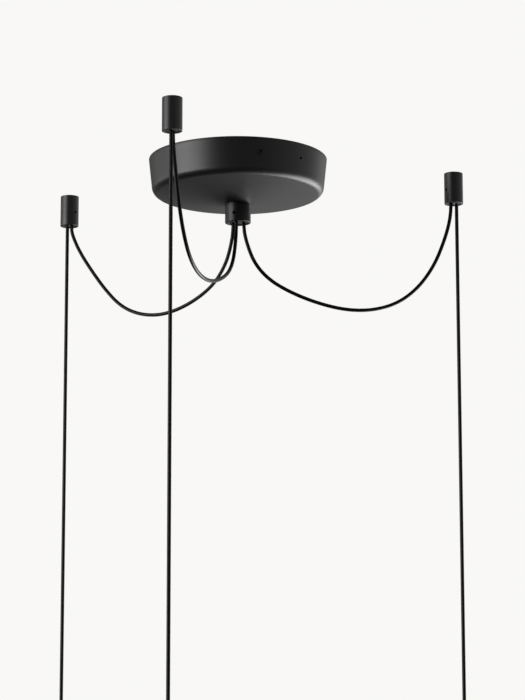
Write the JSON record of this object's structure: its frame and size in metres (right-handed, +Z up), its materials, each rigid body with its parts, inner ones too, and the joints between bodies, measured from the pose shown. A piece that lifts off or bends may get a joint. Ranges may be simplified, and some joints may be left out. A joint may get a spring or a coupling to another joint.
{
  "type": "swag pendant lamp",
  "caption": "Ceiling pendant with a shallow round canopy, cords swagged through cylindrical ceiling anchors, and a screw lampholder at the end of each drop",
  "frame": {"origin": "on the ceiling plane, at the middle of the canopy", "axes": "+Z up out of the ceiling face, +X to the right and +Y away from the viewer; the lamp hangs below z = 0"},
  "size_m": [0.6194, 0.5696, 0.871],
  "materials": {
    "black_coat": "satin black powder coat on steel",
    "nylon_black": "moulded black plastic",
    "black_screw": "black oxide steel",
    "zinc_steel": "zinc plated steel",
    "block_white": "moulded nylon",
    "brass": "turned brass",
    "core_brown": "insulated core",
    "core_blue": "insulated core",
    "core_green": "insulated core, green and yellow",
    "cord_black": "smooth black sheathed cord",
    "ceramic_white": "glazed ceramic"
  },
  "bodies": {
    "ceiling": {"ceiling_bracket": "zinc_steel", "bracket_screws": "zinc_steel", "terminal_block": "block_white", "terminal_clamps": "brass", "terminal_screws": "zinc_steel", "live_cores": "core_brown", "neutral_cores": "core_blue", "earth_cores": "core_green", "earth_lead": "core_green", "anchor_base_left": "zinc_steel", "anchor_peg_left": "zinc_steel", "anchor_sleeve_left": "black_coat", "anchor_guide_left": "black_coat", "swag_cord_left": "cord_black", "anchor_base_front": "zinc_steel", "anchor_peg_front": "zinc_steel", "anchor_sleeve_front": "black_coat", "anchor_guide_front": "black_coat", "swag_cord_front": "cord_black", "anchor_base_right": "zinc_steel", "anchor_peg_right": "zinc_steel", "anchor_sleeve_right": "black_coat", "anchor_guide_right": "black_coat", "swag_cord_right": "cord_black"},
    "canopy": {"canopy_shell": "black_coat", "outlet_boss": "black_coat", "outlet_insert": "nylon_black", "outlet_screws": "zinc_steel", "cord_stops": "nylon_black", "side_nuts": "zinc_steel"},
    "outlet_set_screw": {"outlet_set_screw": "black_screw"},
    "side_screw_near": {"side_screw_near": "black_screw"},
    "side_screw_far": {"side_screw_far": "black_screw"},
    "anchor_screw_left": {"anchor_screw_left": "black_screw"},
    "neck_left": {"neck_cord_left": "cord_black"},
    "drop_left": {"drop_cord_left": "cord_black", "cord_grip_left": "nylon_black", "holder_cap_left": "black_coat", "holder_body_left": "nylon_black", "holder_insert_left": "ceramic_white", "holder_contacts_left": "brass"},
    "shade_ring_left": {"shade_ring_left": "nylon_black"},
    "anchor_screw_front": {"anchor_screw_front": "black_screw"},
    "neck_front": {"neck_cord_front": "cord_black"},
    "drop_front": {"drop_cord_front": "cord_black", "cord_grip_front": "nylon_black", "holder_cap_front": "black_coat", "holder_body_front": "nylon_black", "holder_insert_front": "ceramic_white", "holder_contacts_front": "brass"},
    "shade_ring_front": {"shade_ring_front": "nylon_black"},
    "anchor_screw_right": {"anchor_screw_right": "black_screw"},
    "neck_right": {"neck_cord_right": "cord_black"},
    "drop_right": {"drop_cord_right": "cord_black", "cord_grip_right": "nylon_black", "holder_cap_right": "black_coat", "holder_body_right": "nylon_black", "holder_insert_right": "ceramic_white", "holder_contacts_right": "brass"},
    "shade_ring_right": {"shade_ring_right": "nylon_black"}
  },
  "joints": [
    {"name": "canopy_slide", "type": "slide", "parent": "ceiling", "child": "canopy", "axis": [0, 0, -1], "range_m": [0, 0.03], "deforming": ["swag_cord_left", "swag_cord_front", "swag_cord_right", "live_cores", "neutral_cores", "earth_cores"]},
    {"name": "outlet_set_screw_turn", "type": "hinge", "parent": "canopy", "child": "outlet_set_screw", "pos_m": [-0.00469, -0.01634, -0.0798], "axis": [-0.2756, -0.9613, 0], "range_deg": [0, 1080]},
    {"name": "side_screw_near_turn", "type": "hinge", "parent": "canopy", "child": "side_screw_near", "pos_m": [0.03121, -0.11897, -0.02075], "axis": [0.2538, -0.9673, 0], "range_deg": [0, 1080]},
    {"name": "side_screw_far_turn", "type": "hinge", "parent": "canopy", "child": "side_screw_far", "pos_m": [-0.03121, 0.11897, -0.02075], "axis": [-0.2538, 0.9673, 0], "range_deg": [0, 1080]},
    {"name": "anchor_screw_left_turn", "type": "hinge", "parent": "ceiling", "child": "anchor_screw_left", "pos_m": [-0.24194, 0.19513, -0.025], "axis": [0.682, -0.7314, 0], "range_deg": [0, 1080]},
    {"name": "swing_side_left", "type": "hinge", "parent": "ceiling", "child": "neck_left", "pos_m": [-0.25356, 0.2068, -0.0463], "axis": [-0.7749, 0.632, 0], "range_deg": [-40, 40]},
    {"name": "swing_out_left", "type": "hinge", "parent": "neck_left", "child": "drop_left", "pos_m": [-0.25356, 0.2068, -0.0583], "axis": [0.632, 0.7749, 0], "range_deg": [-12, 40]},
    {"name": "shade_ring_left_turn", "type": "hinge", "parent": "drop_left", "child": "shade_ring_left", "pos_m": [-0.25356, 0.2068, -0.86], "axis": [0, 0, -1], "range_deg": [0, 720]},
    {"name": "anchor_screw_front_turn", "type": "hinge", "parent": "ceiling", "child": "anchor_screw_front", "pos_m": [-0.07901, -0.29283, -0.025], "axis": [0.2605, 0.9655, 0], "range_deg": [0, 1080]},
    {"name": "swing_side_front", "type": "hinge", "parent": "ceiling", "child": "neck_front", "pos_m": [-0.08331, -0.30876, -0.0463], "axis": [-0.2605, -0.9655, 0], "range_deg": [-40, 40]},
    {"name": "swing_out_front", "type": "hinge", "parent": "neck_front", "child": "drop_front", "pos_m": [-0.08331, -0.30876, -0.0583], "axis": [-0.9655, 0.2605, 0], "range_deg": [-12, 40]},
    {"name": "shade_ring_front_turn", "type": "hinge", "parent": "drop_front", "child": "shade_ring_front", "pos_m": [-0.08331, -0.30876, -0.86], "axis": [0, 0, -1], "range_deg": [0, 720]},
    {"name": "anchor_screw_right_turn", "type": "hinge", "parent": "ceiling", "child": "anchor_screw_right", "pos_m": [0.2974, 0.06825, -0.025], "axis": [-0.8387, -0.5446, 0], "range_deg": [0, 1080]},
    {"name": "swing_side_right", "type": "hinge", "parent": "ceiling", "child": "neck_right", "pos_m": [0.31177, 0.076, -0.0463], "axis": [0.9715, 0.2368, 0], "range_deg": [-40, 40]},
    {"name": "swing_out_right", "type": "hinge", "parent": "neck_right", "child": "drop_right", "pos_m": [0.31177, 0.076, -0.0583], "axis": [0.2368, -0.9715, 0], "range_deg": [-12, 40]},
    {"name": "shade_ring_right_turn", "type": "hinge", "parent": "drop_right", "child": "shade_ring_right", "pos_m": [0.31177, 0.076, -0.86], "axis": [0, 0, -1], "range_deg": [0, 720]}
  ]
}
